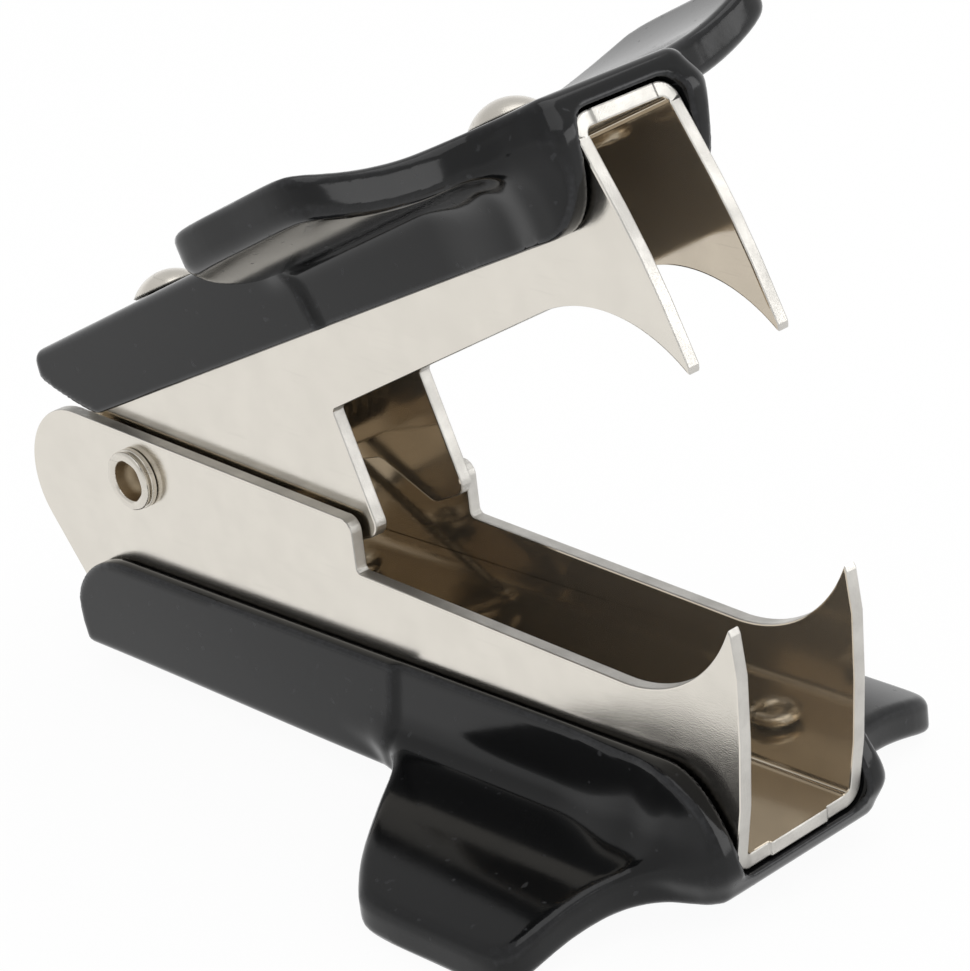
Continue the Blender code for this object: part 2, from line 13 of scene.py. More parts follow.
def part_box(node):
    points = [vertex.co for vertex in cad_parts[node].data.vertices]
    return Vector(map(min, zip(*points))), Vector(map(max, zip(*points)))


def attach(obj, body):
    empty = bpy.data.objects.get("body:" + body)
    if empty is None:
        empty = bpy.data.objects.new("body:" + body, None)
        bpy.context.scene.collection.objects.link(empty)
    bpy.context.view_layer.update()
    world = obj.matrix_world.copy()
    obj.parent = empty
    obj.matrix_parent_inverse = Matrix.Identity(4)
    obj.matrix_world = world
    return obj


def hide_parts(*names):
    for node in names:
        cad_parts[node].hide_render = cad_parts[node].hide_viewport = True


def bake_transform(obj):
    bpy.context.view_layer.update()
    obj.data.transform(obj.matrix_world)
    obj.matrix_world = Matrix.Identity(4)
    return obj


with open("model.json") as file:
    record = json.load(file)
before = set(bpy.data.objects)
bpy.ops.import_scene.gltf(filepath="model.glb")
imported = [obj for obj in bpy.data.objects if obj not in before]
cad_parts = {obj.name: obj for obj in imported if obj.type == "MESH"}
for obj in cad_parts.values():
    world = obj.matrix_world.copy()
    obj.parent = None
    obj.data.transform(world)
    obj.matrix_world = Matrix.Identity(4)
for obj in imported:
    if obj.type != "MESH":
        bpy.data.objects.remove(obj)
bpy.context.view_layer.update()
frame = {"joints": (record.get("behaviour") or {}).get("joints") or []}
MM = 0.001


# ------------------------------------------------------------------ jaw frames
# Each jaw is drawn lying straight: the pivot axis is the origin, +X runs to the fangs and the
# back, which carries the grip, faces down on the lower jaw and up on the upper one. The line
# through a grip's two rivets lies along the jaw's tapered back, so it gives the jaw's attitude.
pivot = Vector(frame["joints"][0]["pos_m"])


def middle_of(node):
    """Middle of a node's box."""
    low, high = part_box(node)
    return (low + high) / 2


def put(name, data):
    """A new object with this data, linked to the scene."""
    made = bpy.data.objects.new(name, data)
    bpy.context.scene.collection.objects.link(made)
    return made


class Jaw:
    """Where one jaw lies, and the sizes that its steel, grip and rivets share."""

    def __init__(self, name, side, reach, depth, taper):
        self.name = name
        self.side = side                    # -1 where the back faces down, +1 where it faces up
        self.reach = reach                  # pivot axis to the front end of the back
        self.depth = depth                  # pivot axis to the back, at that end
        self.taper = taper
        self.half_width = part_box(name + "_jaw")[1].y
        along = middle_of(name + "_front_rivet") - middle_of(name + "_rear_rivet")
        attitude = math.atan2(along.z, along.x) - side * taper
        self.place = Matrix.Translation(pivot) @ Matrix.Rotation(-attitude, 4, "Y")

    def back(self, x):
        """Distance from the pivot axis to the back, at this distance along the jaw."""
        return self.depth - (self.reach - x) * math.tan(self.taper)


lower = Jaw("lower", -1, 48.6 * MM, 12.25 * MM, math.radians(0.4))
upper = Jaw("upper", 1, 48.8 * MM, 10.1 * MM, math.radians(2.0))


# ------------------------------------------------------------------ nickel plated steel
# Rolled strip, barrel finished and bright nickel plated: satin and faintly mottled outside,
# mirror bright inside the fold, where the barrel's media never reached.
NICKEL = (0.745, 0.708, 0.640)
DARKEST_TONE = 1.5                  # full mottle and the whole of the grain


def group_tree(name, inputs, outputs):
    """An empty shader node group with float inputs and outputs, and its two end nodes."""
    tree = bpy.data.node_groups.new(name, "ShaderNodeTree")
    for socket, value in inputs.items():
        made = tree.interface.new_socket(socket, in_out="INPUT", socket_type="NodeSocketFloat")
        made.default_value = value
    for socket in outputs:
        tree.interface.new_socket(socket, in_out="OUTPUT", socket_type="NodeSocketFloat")
    start = tree.nodes.new("NodeGroupInput")
    end = tree.nodes.new("NodeGroupOutput")
    return tree, start, end


def add_noise(tree, place, size, detail=2.0):
    """Noise whose features are about this size, in metres, on a place socket."""
    made = tree.nodes.new("ShaderNodeTexNoise")
    made.inputs["Scale"].default_value = 1 / size
    made.inputs["Detail"].default_value = detail
    tree.links.new(place, made.inputs["Vector"])
    return made.outputs["Fac"]


def add_math(tree, operation, first, second=0.0):
    """A Math node on two values, each a socket or a number."""
    made = tree.nodes.new("ShaderNodeMath")
    made.operation = operation
    for socket, value in zip(made.inputs, (first, second)):
        if isinstance(value, bpy.types.NodeSocket):
            tree.links.new(value, socket)
        else:
            socket.default_value = value
    return made.outputs["Value"]


def add_ramp(tree, value, low, high, start=0.0, end=1.0):
    """The value stretched from low..high to start..end, and held there outside it."""
    made = tree.nodes.new("ShaderNodeMapRange")
    tree.links.new(value, made.inputs["Value"])
    for name, number in (("From Min", low), ("From Max", high), ("To Min", start), ("To Max", end)):
        made.inputs[name].default_value = number
    return made.outputs["Result"]


def barrel_finish():
    """Group: what tumbling and plating leave on the strip: mottle, fine peening and stray scratches."""
    tree, start, end = group_tree("barrel_finish", {"Mottle": 1.0, "Peening": 1.0, "Scratches": 1.0},
                                  ["Tone", "Height"])
    place = tree.nodes.new("ShaderNodeTexCoord").outputs["Object"]
    cloud = add_ramp(tree, add_noise(tree, place, 2.2 * MM, 4.0), 0.3, 0.7)
    grain = add_noise(tree, place, 0.08 * MM, 2.0)
    slope = tree.nodes.new("ShaderNodeMapping")
    slope.inputs["Rotation"].default_value = (0.4, 0.9, 0.2)
    slope.inputs["Scale"].default_value = (1.0, 6.0, 24.0)
    tree.links.new(place, slope.inputs["Vector"])
    lines = add_ramp(tree, add_noise(tree, slope.outputs["Vector"], 3.0 * MM, 1.0), 0.66, 0.72)
    patches = add_math(tree, "ADD", cloud, add_math(tree, "MULTIPLY", grain, 0.5))
    mottle = add_math(tree, "MULTIPLY", patches, start.outputs["Mottle"])
    scratched = add_math(tree, "MULTIPLY", lines, start.outputs["Scratches"])
    tone = add_math(tree, "ADD", mottle, scratched)
    peened = add_math(tree, "MULTIPLY", grain, start.outputs["Peening"])
    height = add_math(tree, "SUBTRACT", peened, add_math(tree, "MULTIPLY", scratched, 0.12))
    tree.links.new(tone, end.inputs["Tone"])
    tree.links.new(height, end.inputs["Height"])
    return tree


barrel_tree = barrel_finish()


def dress(tree, shader, tones, share, roughness, height, relief):
    """Give a shader two mixed tones, a roughness, and a bump from a height and its relief in metres."""
    mix = tree.nodes.new("ShaderNodeMix")
    mix.data_type = "RGBA"
    mix.inputs["A"].default_value = (*tones[0], 1)
    mix.inputs["B"].default_value = (*tones[1], 1)
    bump = tree.nodes.new("ShaderNodeBump")
    bump.inputs["Distance"].default_value = relief
    for output, socket in ((share, mix.inputs["Factor"]),
                           (mix.outputs["Result"], shader.inputs["Base Color"]),
                           (roughness, shader.inputs["Roughness"]),
                           (height, bump.inputs["Height"]),
                           (bump.outputs["Normal"], shader.inputs["Normal"])):
        tree.links.new(output, socket)


def finished_metal(name, colour, dark, rough, spread, relief,
                   mottle=1.0, peening=1.0, scratches=0.0, metallic=1.0):
    """Plated metal: its tone and roughness follow the barrel finish, whose height is the bump."""
    made = bpy.data.materials.new(name)
    made.use_nodes = True
    tree = made.node_tree
    shader = tree.nodes["Principled BSDF"]
    shader.inputs["Metallic"].default_value = metallic
    wear = tree.nodes.new("ShaderNodeGroup")
    wear.node_tree = barrel_tree
    wear.inputs["Mottle"].default_value = mottle
    wear.inputs["Peening"].default_value = peening
    wear.inputs["Scratches"].default_value = scratches
    tone = wear.outputs["Tone"]
    dress(tree, shader, (colour, [c * dark for c in colour]), add_ramp(tree, tone, 0.0, DARKEST_TONE),
          add_ramp(tree, tone, 0.0, DARKEST_TONE, rough, rough + spread), wear.outputs["Height"], relief)
    return made


satin_nickel = finished_metal("satin_nickel", NICKEL, dark=0.94, rough=0.13, spread=0.07,
                              relief=0.0042 * MM, scratches=0.5)
bright_nickel = finished_metal("bright_nickel", (0.60, 0.53, 0.43), dark=0.88, rough=0.045, spread=0.05,
                               relief=0.0005 * MM, scratches=0.8, metallic=0.89)
sheared_nickel = finished_metal("sheared_nickel", (0.66, 0.64, 0.60), dark=0.72, rough=0.30, spread=0.14,
                                relief=0.014 * MM, mottle=1.2, peening=1.6)


# ------------------------------------------------------------------ steel jaws
# Each jaw is one blank of 0.9 mm strip, stamped with its fangs, pivot holes and rivet holes and
# then folded into a channel. The stamped edge is sheared bright and slightly rounded.
SHEET = 0.9 * MM
BEND_OUTSIDE = 1.3 * MM
PIVOT_HOLE = 1.55 * MM
RIVET_HOLE = 1.3 * MM
RIVET_REAR_X = 3.5 * MM
RIVET_FRONT_X = 39.6 * MM
BEND_LENGTH = math.pi / 2 * (BEND_OUTSIDE - SHEET / 2)
BEND_STEPS = 8
FOLD_MARGIN = 0.12 * MM             # one more cut past each end of a bend keeps the flats flat
EDGE_ROUND = 0.11 * MM
SHORTEST_EDGE = 0.03 * MM
SHARP_CORNER = math.radians(50)     # corners sharper than this are rounded
SMOOTH_BEND = math.radians(16)      # facets that meet flatter than this are shaded as one surface
TIP_BLUNT = 0.16 * MM               # flat left at the fang's point
CORNER_ROUND = 0.35 * MM
TAB_HALF = 2.3 * MM                 # stub of the tie that held the blank in its strip
TAB_PROUD = 0.16 * MM


def arc(centre, radius, start, end, steps):
    """Points along an arc round a centre, from one angle to another."""
    turn = (end - start) / steps
    return [(centre[0] + radius * math.cos(start + turn * i),
             centre[1] + radius * math.sin(start + turn * i)) for i in range(steps + 1)]


def rounded(corner, before, after, radius, steps=6):
    """An arc of this radius in the corner between the lines to the points before and after."""
    corner = Vector(corner)
    to_before = (Vector(before) - corner).normalized()
    to_after = (Vector(after) - corner).normalized()
    half = to_before.angle(to_after) / 2
    setback = radius / math.tan(half)
    start = corner + to_before * setback
    end = corner + to_after * setback
    centre = corner + (to_before + to_after).normalized() * (radius / math.sin(half))
    chords = [start.lerp(end, i / steps) for i in range(steps + 1)]
    return [tuple(centre + (chord - centre).normalized() * radius) for chord in chords]


def lower_wall():
    """Edge of the lower jaw's side wall, from the floor's front end over the fang and ear to the rear."""
    ear_centre = (-6.0 * MM, -1.9 * MM)
    ear_end = math.radians(216)
    step_x = 20.0 * MM
    hollow = 8.8 * MM
    hollow_centre = (41.5 * MM, -2.55 * MM + hollow)
    tip_angle = -math.acos((lower.reach + 1.0 * MM - hollow_centre[0]) / hollow)
    fang = arc(hollow_centre, hollow, tip_angle, -math.pi / 2, 24)
    tip = fang[0]
    front = [(lower.reach, -lower.depth), (lower.reach + 0.8 * MM, -8 * MM),
             (lower.reach + 1.2 * MM, -4 * MM), (lower.reach + 1.4 * MM, 0),
             (tip[0] + TIP_BLUNT, tip[1] - 0.4 * MM)]
    step_foot = (step_x, -1.5 * MM)
    step = rounded((step_x, 2.0 * MM), step_foot, ear_centre, 0.9 * MM)
    ear = arc(ear_centre, 5.0 * MM, math.pi / 2, ear_end, 30)
    drop = (ear[-1][1] + lower.back(0)) / -math.cos(ear_end)
    rear = (ear[-1][0] - math.sin(ear_end) * drop, -lower.back(0))
    foot = rounded(step_foot, fang[-1], step[0], CORNER_ROUND, 3)
    return front + fang + foot + step + ear + [rear]


def upper_wall():
    """Edge of the upper jaw's side wall, from the roof's front end over the fang, leg and ear."""
    hollow = 9.4 * MM
    hollow_centre = (41.3 * MM, 1.15 * MM - hollow)
    tip_angle = math.acos((upper.reach + 1.1 * MM - hollow_centre[0]) / hollow)
    fang = arc(hollow_centre, hollow, tip_angle, math.pi / 2, 24)
    tip = fang[0]
    front = [(upper.reach, upper.depth), (upper.reach + 0.05 * MM, 9 * MM),
             (upper.reach + 0.35 * MM, 7 * MM), (upper.reach + 0.75 * MM, 4.5 * MM),
             (upper.reach + 1.05 * MM, 2 * MM), (upper.reach + 1.2 * MM, -0.5 * MM),
             (tip[0] + TIP_BLUNT, tip[1] + 0.4 * MM)]
    leg_front = 20.0 * MM
    leg_back = leg_front - 3.6 * MM
    bottom = -7.9 * MM
    leg_top = (leg_front, -0.1 * MM)
    toe = (leg_front - 0.4 * MM, bottom)
    heel = (leg_back, bottom)
    shin = (leg_back - 1.9 * MM, bottom + 2.4 * MM)
    arch = (13.0 * MM, -4.3 * MM)
    waist = (arch[0] / 2, -3.5 * MM)
    leg = rounded(toe, leg_top, heel, 0.9 * MM) + rounded(heel, toe, shin, 0.9 * MM)
    bay = rounded(arch, shin, waist, 1.6 * MM)
    ear = arc((0, 0), 3.9 * MM, math.radians(-80), -math.pi, 24)
    inner_corner = rounded(leg_top, fang[-1], toe, CORNER_ROUND, 3)
    rear = (-4.0 * MM, upper.depth - 1.85 * MM)
    return front + fang + inner_corner + leg + bay + [waist] + ear + [rear]


def blank_loops(jaw, wall):
    """The flat blank's outline and holes as (along the back, across from its middle line)."""
    flat = jaw.half_width - BEND_OUTSIDE
    cos, sin = math.cos(jaw.taper), math.sin(jaw.taper)

    def unfold(point):
        """Where a point of the folded side wall lies on the flat blank."""
        x = point[0] - jaw.reach
        z = point[1] - jaw.side * jaw.depth
        height = x * sin - z * jaw.side * cos
        inside_bend = min(max(height, 0) / BEND_OUTSIDE, 1) * BEND_LENGTH
        return (x * cos + z * jaw.side * sin, flat + inside_bend + max(height - BEND_OUTSIDE, 0))

    edge = [unfold(point) for point in wall]
    tab = [(TAB_PROUD, TAB_HALF), (0, TAB_HALF + 0.08 * MM)]
    rear = [(edge[-1][0], flat)]
    half = tab + edge + rear
    half = half[:1] + [knot for last, knot in zip(half, half[1:]) if math.dist(last, knot) > EDGE_ROUND]
    outline = half + [(along, -across) for along, across in reversed(half)]
    loops = [outline]
    pivot_at = unfold((0, 0))
    for across in (pivot_at[1], -pivot_at[1]):
        loops.append(arc((pivot_at[0], across), PIVOT_HOLE, 0, 2 * math.pi, 48)[:-1])
    for x in (RIVET_REAR_X, RIVET_FRONT_X):
        loops.append(arc((x - jaw.reach, 0), RIVET_HOLE, 0, 2 * math.pi, 40)[:-1])
    return loops


def flat_blank(name, loops, folds):
    """The blank as a flat mesh, cut along the lines where it will fold."""
    curve = bpy.data.curves.new(name, "CURVE")
    curve.dimensions = "2D"
    curve.fill_mode = "BOTH"
    for loop in loops:
        spline = curve.splines.new("POLY")
        spline.points.add(len(loop) - 1)
        for point, (x, y) in zip(spline.points, loop):
            point.co = (x, y, 0, 1)
        spline.use_cyclic_u = True
    drawn = put(name + "_outline", curve)
    bpy.context.view_layer.update()
    mesh = bpy.data.meshes.new_from_object(drawn.evaluated_get(bpy.context.evaluated_depsgraph_get()))
    bpy.data.objects.remove(drawn)
    bm = bmesh.new()
    bm.from_mesh(mesh)
    bmesh.ops.remove_doubles(bm, verts=bm.verts, dist=1e-7)
    bmesh.ops.dissolve_limit(bm, angle_limit=0.01, verts=bm.verts, edges=bm.edges, delimit=set())
    for across in folds:
        for line in (across, -across):
            bmesh.ops.bisect_plane(bm, geom=bm.verts[:] + bm.edges[:] + bm.faces[:], dist=1e-8,
                                   plane_co=(0, line, 0), plane_no=(0, 1, 0))
    bmesh.ops.remove_doubles(bm, verts=bm.verts, dist=SHORTEST_EDGE)
    for face in bm.faces:
        if face.normal.z > 0:
            face.normal_flip()
    bm.to_mesh(mesh)
    bm.free()
    return put(name, mesh)


def geometry_tree(name, inputs):
    """A Geometry Nodes tree with a geometry in and out, and these inputs, each with its socket type."""
    tree = bpy.data.node_groups.new(name, "GeometryNodeTree")
    tree.interface.new_socket("Geometry", in_out="INPUT", socket_type="NodeSocketGeometry")
    for socket, kind in inputs.items():
        tree.interface.new_socket(socket, in_out="INPUT", socket_type=kind)
    tree.interface.new_socket("Geometry", in_out="OUTPUT", socket_type="NodeSocketGeometry")
    return tree, tree.nodes.new("NodeGroupInput"), tree.nodes.new("NodeGroupOutput")


def finish_tree(tree, start, end, geometry):
    """Realize Instances, then Set Material, then out."""
    real = tree.nodes.new("GeometryNodeRealizeInstances")
    painted = tree.nodes.new("GeometryNodeSetMaterial")
    tree.links.new(geometry, real.inputs["Geometry"])
    tree.links.new(real.outputs["Geometry"], painted.inputs["Geometry"])
    tree.links.new(start.outputs["Material"], painted.inputs["Material"])
    tree.links.new(painted.outputs["Geometry"], end.inputs["Geometry"])


def grow(thing, tree, values):
    """Put a tree on an object as a modifier with these input values."""
    modifier = thing.modifiers.new(tree.name, "NODES")
    modifier.node_group = tree
    for item in tree.interface.items_tree:
        if item.in_out == "INPUT" and item.name in values:
            modifier[item.identifier] = values[item.name]
    return modifier


def fold_tree():
    """Folds a flat blank, drawn in X and Y, into a channel: the middle stays flat at half the sheet's
    thickness, the two bends turn through a right angle, and the walls stand up in Z."""
    tree, start, end = geometry_tree("fold_blank", {
        "Half Width": "NodeSocketFloat", "Bend Outside": "NodeSocketFloat", "Sheet": "NodeSocketFloat",
        "Material": "NodeSocketMaterial"})

    def calc(operation, first, second=0.0):
        return add_math(tree, operation, first, second)

    half_width, outside, sheet = (start.outputs[n] for n in ("Half Width", "Bend Outside", "Sheet"))
    position = tree.nodes.new("GeometryNodeInputPosition")
    split = tree.nodes.new("ShaderNodeSeparateXYZ")
    tree.links.new(position.outputs["Position"], split.inputs["Vector"])
    across = calc("ABSOLUTE", split.outputs["Y"])
    flat = calc("SUBTRACT", half_width, outside)
    radius = calc("SUBTRACT", outside, calc("MULTIPLY", sheet, 0.5))
    turned_length = calc("MULTIPLY", radius, math.pi / 2)
    past_flat = calc("MAXIMUM", calc("SUBTRACT", across, flat), 0.0)
    in_bend = calc("MINIMUM", past_flat, turned_length)
    up_wall = calc("SUBTRACT", past_flat, in_bend)
    angle = calc("DIVIDE", in_bend, radius)
    sideways = calc("ADD", calc("MINIMUM", across, flat), calc("MULTIPLY", radius, calc("SINE", angle)))
    height = calc("ADD", calc("SUBTRACT", outside, calc("MULTIPLY", radius, calc("COSINE", angle))), up_wall)
    join = tree.nodes.new("ShaderNodeCombineXYZ")
    tree.links.new(split.outputs["X"], join.inputs["X"])
    tree.links.new(calc("MULTIPLY", sideways, calc("SIGN", split.outputs["Y"])), join.inputs["Y"])
    tree.links.new(height, join.inputs["Z"])
    moved = tree.nodes.new("GeometryNodeSetPosition")
    tree.links.new(start.outputs["Geometry"], moved.inputs["Geometry"])
    tree.links.new(join.outputs["Vector"], moved.inputs["Position"])
    finish_tree(tree, start, end, moved.outputs["Geometry"])
    return tree


def settle(thing, place=None):
    """Bake an object's modifiers into a plain mesh that lies in its place, on an object at the origin."""
    bpy.context.view_layer.update()
    mesh = bpy.data.meshes.new_from_object(thing.evaluated_get(bpy.context.evaluated_depsgraph_get()))
    if place is not None:
        mesh.transform(place)
        if place.determinant() < 0:
            mesh.flip_normals()
    name = thing.name
    bpy.data.objects.remove(thing)
    mesh.name = name
    return put(name, mesh)


fold = fold_tree()
for jaw, wall in ((lower, lower_wall()), (upper, upper_wall())):
    flat = jaw.half_width - BEND_OUTSIDE
    folds = [flat + BEND_LENGTH * i / BEND_STEPS for i in range(BEND_STEPS + 1)]
    folds = [flat - FOLD_MARGIN] + folds + [flat + BEND_LENGTH + FOLD_MARGIN]
    steel = flat_blank(jaw.name + "_steel_jaw", blank_loops(jaw, wall), folds)
    for finish in (satin_nickel, bright_nickel, sheared_nickel):
        steel.data.materials.append(finish)
    grow(steel, fold, {"Half Width": jaw.half_width, "Bend Outside": BEND_OUTSIDE, "Sheet": SHEET,
                       "Material": satin_nickel})
    gauge = steel.modifiers.new("gauge", "SOLIDIFY")
    gauge.thickness = SHEET
    gauge.offset = 0
    gauge.use_even_offset = True
    gauge.material_offset = 1           # bright inside, and sheared at the rim
    gauge.material_offset_rim = 2
    edge = steel.modifiers.new("sheared_edge", "BEVEL")
    edge.width = EDGE_ROUND
    edge.segments = 2
    edge.limit_method = "ANGLE"
    edge.angle_limit = SHARP_CORNER
    edge.use_clamp_overlap = False
    upright = Matrix.Identity(4) if jaw.side < 0 else Matrix.Rotation(math.pi, 4, "X")
    tilt = Matrix.Rotation(-jaw.side * jaw.taper, 4, "Y")
    front_end = jaw.place @ Matrix.Translation((jaw.reach, 0, jaw.side * jaw.depth))
    steel = settle(steel, front_end @ tilt @ upright)
    steel.data.shade_smooth()
    steel.data.set_sharp_from_angle(angle=SMOOTH_BEND)
    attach(steel, jaw.name)
    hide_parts(jaw.name + "_jaw")


# ------------------------------------------------------------------ pivot rivet
# A hollow rivet across all four walls: turned head at one side, and at the other an end that was
# rolled over against a collar, which leaves an uneven lip round its bore.
PIVOT_SHANK = 1.35 * MM
PIVOT_SEAT = 0.2 * MM               # clearance between the head and the jaw
PIVOT_PROUD = 0.85 * MM
PIVOT_HEAD = 2.3 * MM
HEAD_FACE = 1.6 * MM
HEAD_RIM = 0.25 * MM
HEAD_ROUND = 0.1 * MM
COLLAR = 1.95 * MM
COLLAR_FOOT = 0.05 * MM
COLLAR_TOP = 0.40 * MM
COLLAR_ROUND = 0.06 * MM
NECK = 1.5 * MM
NECK_TOP = 0.47 * MM
LIP_BORE = 1.28 * MM
LIP_FLARE = 1.92 * MM
LIP_OVER = 0.08 * MM
DARK_BORE = 1.27 * MM               # the tarnish inside the bore begins at this radius

tarnished_nickel = finished_metal("tarnished_nickel", (0.50, 0.40, 0.27), dark=0.6, rough=0.3, spread=0.2,
                                  relief=0.01 * MM, mottle=1.2, peening=1.6)
rivet_nickel = finished_metal("rivet_nickel", (0.74, 0.70, 0.63), dark=0.80, rough=0.14, spread=0.16,
                              relief=0.006 * MM, peening=1.2, scratches=1.0)


def turned(name, profile, steps=64):
    """A solid of revolution about Z from an (r, z) profile that runs down its outer side."""
    mesh = bpy.data.meshes.new(name)
    mesh.from_pydata([(r, 0, z) for r, z in profile], [(i, i + 1) for i in range(len(profile) - 1)], [])
    made = put(name, mesh)
    screw = made.modifiers.new("turn", "SCREW")
    screw.steps = steps
    screw.render_steps = steps
    screw.use_merge_vertices = True
    screw.merge_threshold = 1e-6
    return settle(made)


def uneven(thing, size, depth, low, high):
    """Push a turned piece's surface in and out a little between two heights, as rolling over leaves it."""
    for vertex in thing.data.vertices:
        share = min(max((vertex.co.z - low) / (high - low), 0), 1)
        vertex.co += vertex.normal * noise.noise(vertex.co / size) * depth * share


def rolled_lip(shank, bore, flare, base, top):
    """Profile of a rolled end above its base: the lip swells out, rolls over and turns into its bore."""
    middle = (bore + flare) / 2
    swell = (flare - bore) / 2
    rise = (top - base) / 2
    lip = [(middle + swell * math.cos(a), base + rise + rise * math.sin(a))
           for a in (math.radians(degree) for degree in range(-60, 181, 12))]
    return [(shank, base)] + lip


def rounded_profile(points, radius, steps=4):
    """A profile whose inner corners are each rounded by this radius."""
    smooth = [points[0]]
    for before, corner, after in zip(points, points[1:], points[2:]):
        smooth += rounded(corner, before, after, radius, steps)
    return smooth + [points[-1]]


outside = lower.half_width
collar = rounded_profile([(PIVOT_SHANK, outside + COLLAR_FOOT), (COLLAR, outside + COLLAR_FOOT),
                          (COLLAR, outside + COLLAR_TOP), (NECK, outside + NECK_TOP)], COLLAR_ROUND)
lip = rolled_lip(NECK, LIP_BORE, LIP_FLARE, outside + NECK_TOP, outside + PIVOT_PROUD + LIP_OVER)
head = rounded_profile([(0, -outside - PIVOT_PROUD), (HEAD_FACE, -outside - PIVOT_PROUD + 0.05 * MM),
                        (PIVOT_HEAD, -outside - PIVOT_SEAT - HEAD_RIM),
                        (PIVOT_HEAD, -outside - PIVOT_SEAT),
                        (PIVOT_SHANK, -outside - PIVOT_SEAT)], HEAD_ROUND)
bore = [(1.2 * MM, outside + 0.25 * MM), (1.12 * MM, outside - 0.05 * MM),
        (0.9 * MM, outside - 0.22 * MM), (0.45 * MM, outside - 0.3 * MM), (0, outside - 0.2 * MM)]
rivet = turned("pivot_rivet_turned", (head + collar + lip + bore)[::-1])
uneven(rivet, size=0.6 * MM, depth=0.05 * MM, low=outside + 0.5 * MM, high=outside + PIVOT_PROUD)
rivet.data.transform(Matrix.Translation(pivot) @ Matrix.Rotation(math.pi / 2, 4, "X"))
rivet.data.materials.append(rivet_nickel)
rivet.data.materials.append(tarnished_nickel)
for face in rivet.data.polygons:
    from_axis = math.hypot(face.center.x - pivot.x, face.center.z - pivot.z)
    face.material_index = int(from_axis < DARK_BORE and face.center.y < 0)
rivet.data.shade_smooth()
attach(rivet, "lower")
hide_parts("pivot_rivet")


# ------------------------------------------------------------------ torsion spring
# Hard drawn wire wound four turns round the pivot rivet, with a straight leg along each jaw's back
# whose tip is turned up. It pushes the jaws open.
WIRE = 0.8 * MM
WIRE_SIDES = 16
COIL_RADIUS = 2.5 * MM
COIL_PITCH = 0.92 * MM
COIL_TURNS = 4
LEG_REACH = 15.0 * MM
LEG_CLEAR = SHEET + 0.3 * MM + WIRE / 2
LEG_HOOK = 1.0 * MM
LEG_STEPS = 12
HOOK_RISE = 0.25                    # share of the hook's length
STEPS_PER_TURN = 40
spring_wire = finished_metal("spring_wire", (0.62, 0.575, 0.50), dark=0.75, rough=0.18, spread=0.12,
                             relief=0.004 * MM, scratches=2.0)


def wire_tree():
    """Draws a round wire along a curve."""
    tree, start, end = geometry_tree("draw_wire", {
        "Wire": "NodeSocketFloat", "Sides": "NodeSocketInt", "Material": "NodeSocketMaterial"})
    section = tree.nodes.new("GeometryNodeCurvePrimitiveCircle")
    half = add_math(tree, "MULTIPLY", start.outputs["Wire"], 0.5)
    tree.links.new(half, section.inputs["Radius"])
    tree.links.new(start.outputs["Sides"], section.inputs["Resolution"])
    drawn = tree.nodes.new("GeometryNodeCurveToMesh")
    drawn.inputs["Fill Caps"].default_value = True
    tree.links.new(start.outputs["Geometry"], drawn.inputs["Curve"])
    tree.links.new(section.outputs["Curve"], drawn.inputs["Profile Curve"])
    smooth = tree.nodes.new("GeometryNodeSetShadeSmooth")
    tree.links.new(drawn.outputs["Mesh"], smooth.inputs["Geometry"])
    finish_tree(tree, start, end, smooth.outputs["Geometry"])
    return tree


def spring_path():
    """Lower leg's tip, up to the coil, round it and out along the upper leg, in the lower jaw's frame."""
    opening = lower.place.inverted() @ upper.place
    low = Vector((LEG_REACH, 0, -lower.back(LEG_REACH) + LEG_CLEAR))
    high = opening @ Vector((LEG_REACH, 0, upper.back(LEG_REACH) - LEG_CLEAR))
    start = math.atan2(low.z, low.x) - math.acos(COIL_RADIUS / math.hypot(low.x, low.z))
    end = math.atan2(high.z, high.x) + math.acos(COIL_RADIUS / math.hypot(high.x, high.z))
    sweep = end - start - 2 * math.pi * (COIL_TURNS + 1)
    half_length = COIL_PITCH * abs(sweep) / (4 * math.pi)
    steps = STEPS_PER_TURN * (COIL_TURNS + 1)
    coil = [Vector((COIL_RADIUS * math.cos(start + sweep * i / steps),
                    -half_length + 2 * half_length * i / steps,
                    COIL_RADIUS * math.sin(start + sweep * i / steps))) for i in range(steps + 1)]
    low.y = -half_length
    high.y = half_length
    low_tip = low + Vector((LEG_HOOK, 0, HOOK_RISE * LEG_HOOK))
    high_tip = high + opening.to_3x3() @ Vector((LEG_HOOK, 0, -HOOK_RISE * LEG_HOOK))
    legs = [[tip] + [foot.lerp(coil_end, i / LEG_STEPS) for i in range(LEG_STEPS)]
            for tip, foot, coil_end in ((low_tip, low, coil[0]), (high_tip, high, coil[-1]))]
    return legs[0] + coil + legs[1][::-1]


path = bpy.data.curves.new("torsion_spring_wire", "CURVE")
path.dimensions = "3D"
line = path.splines.new("POLY")
points = spring_path()
line.points.add(len(points) - 1)
for knot, place in zip(line.points, points):
    knot.co = (*place, 1)
spring = put("torsion_spring_wire", path)
grow(spring, wire_tree(), {"Wire": WIRE, "Sides": WIRE_SIDES, "Material": spring_wire})
spring = settle(spring, lower.place)
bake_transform(spring)
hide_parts("torsion_spring")


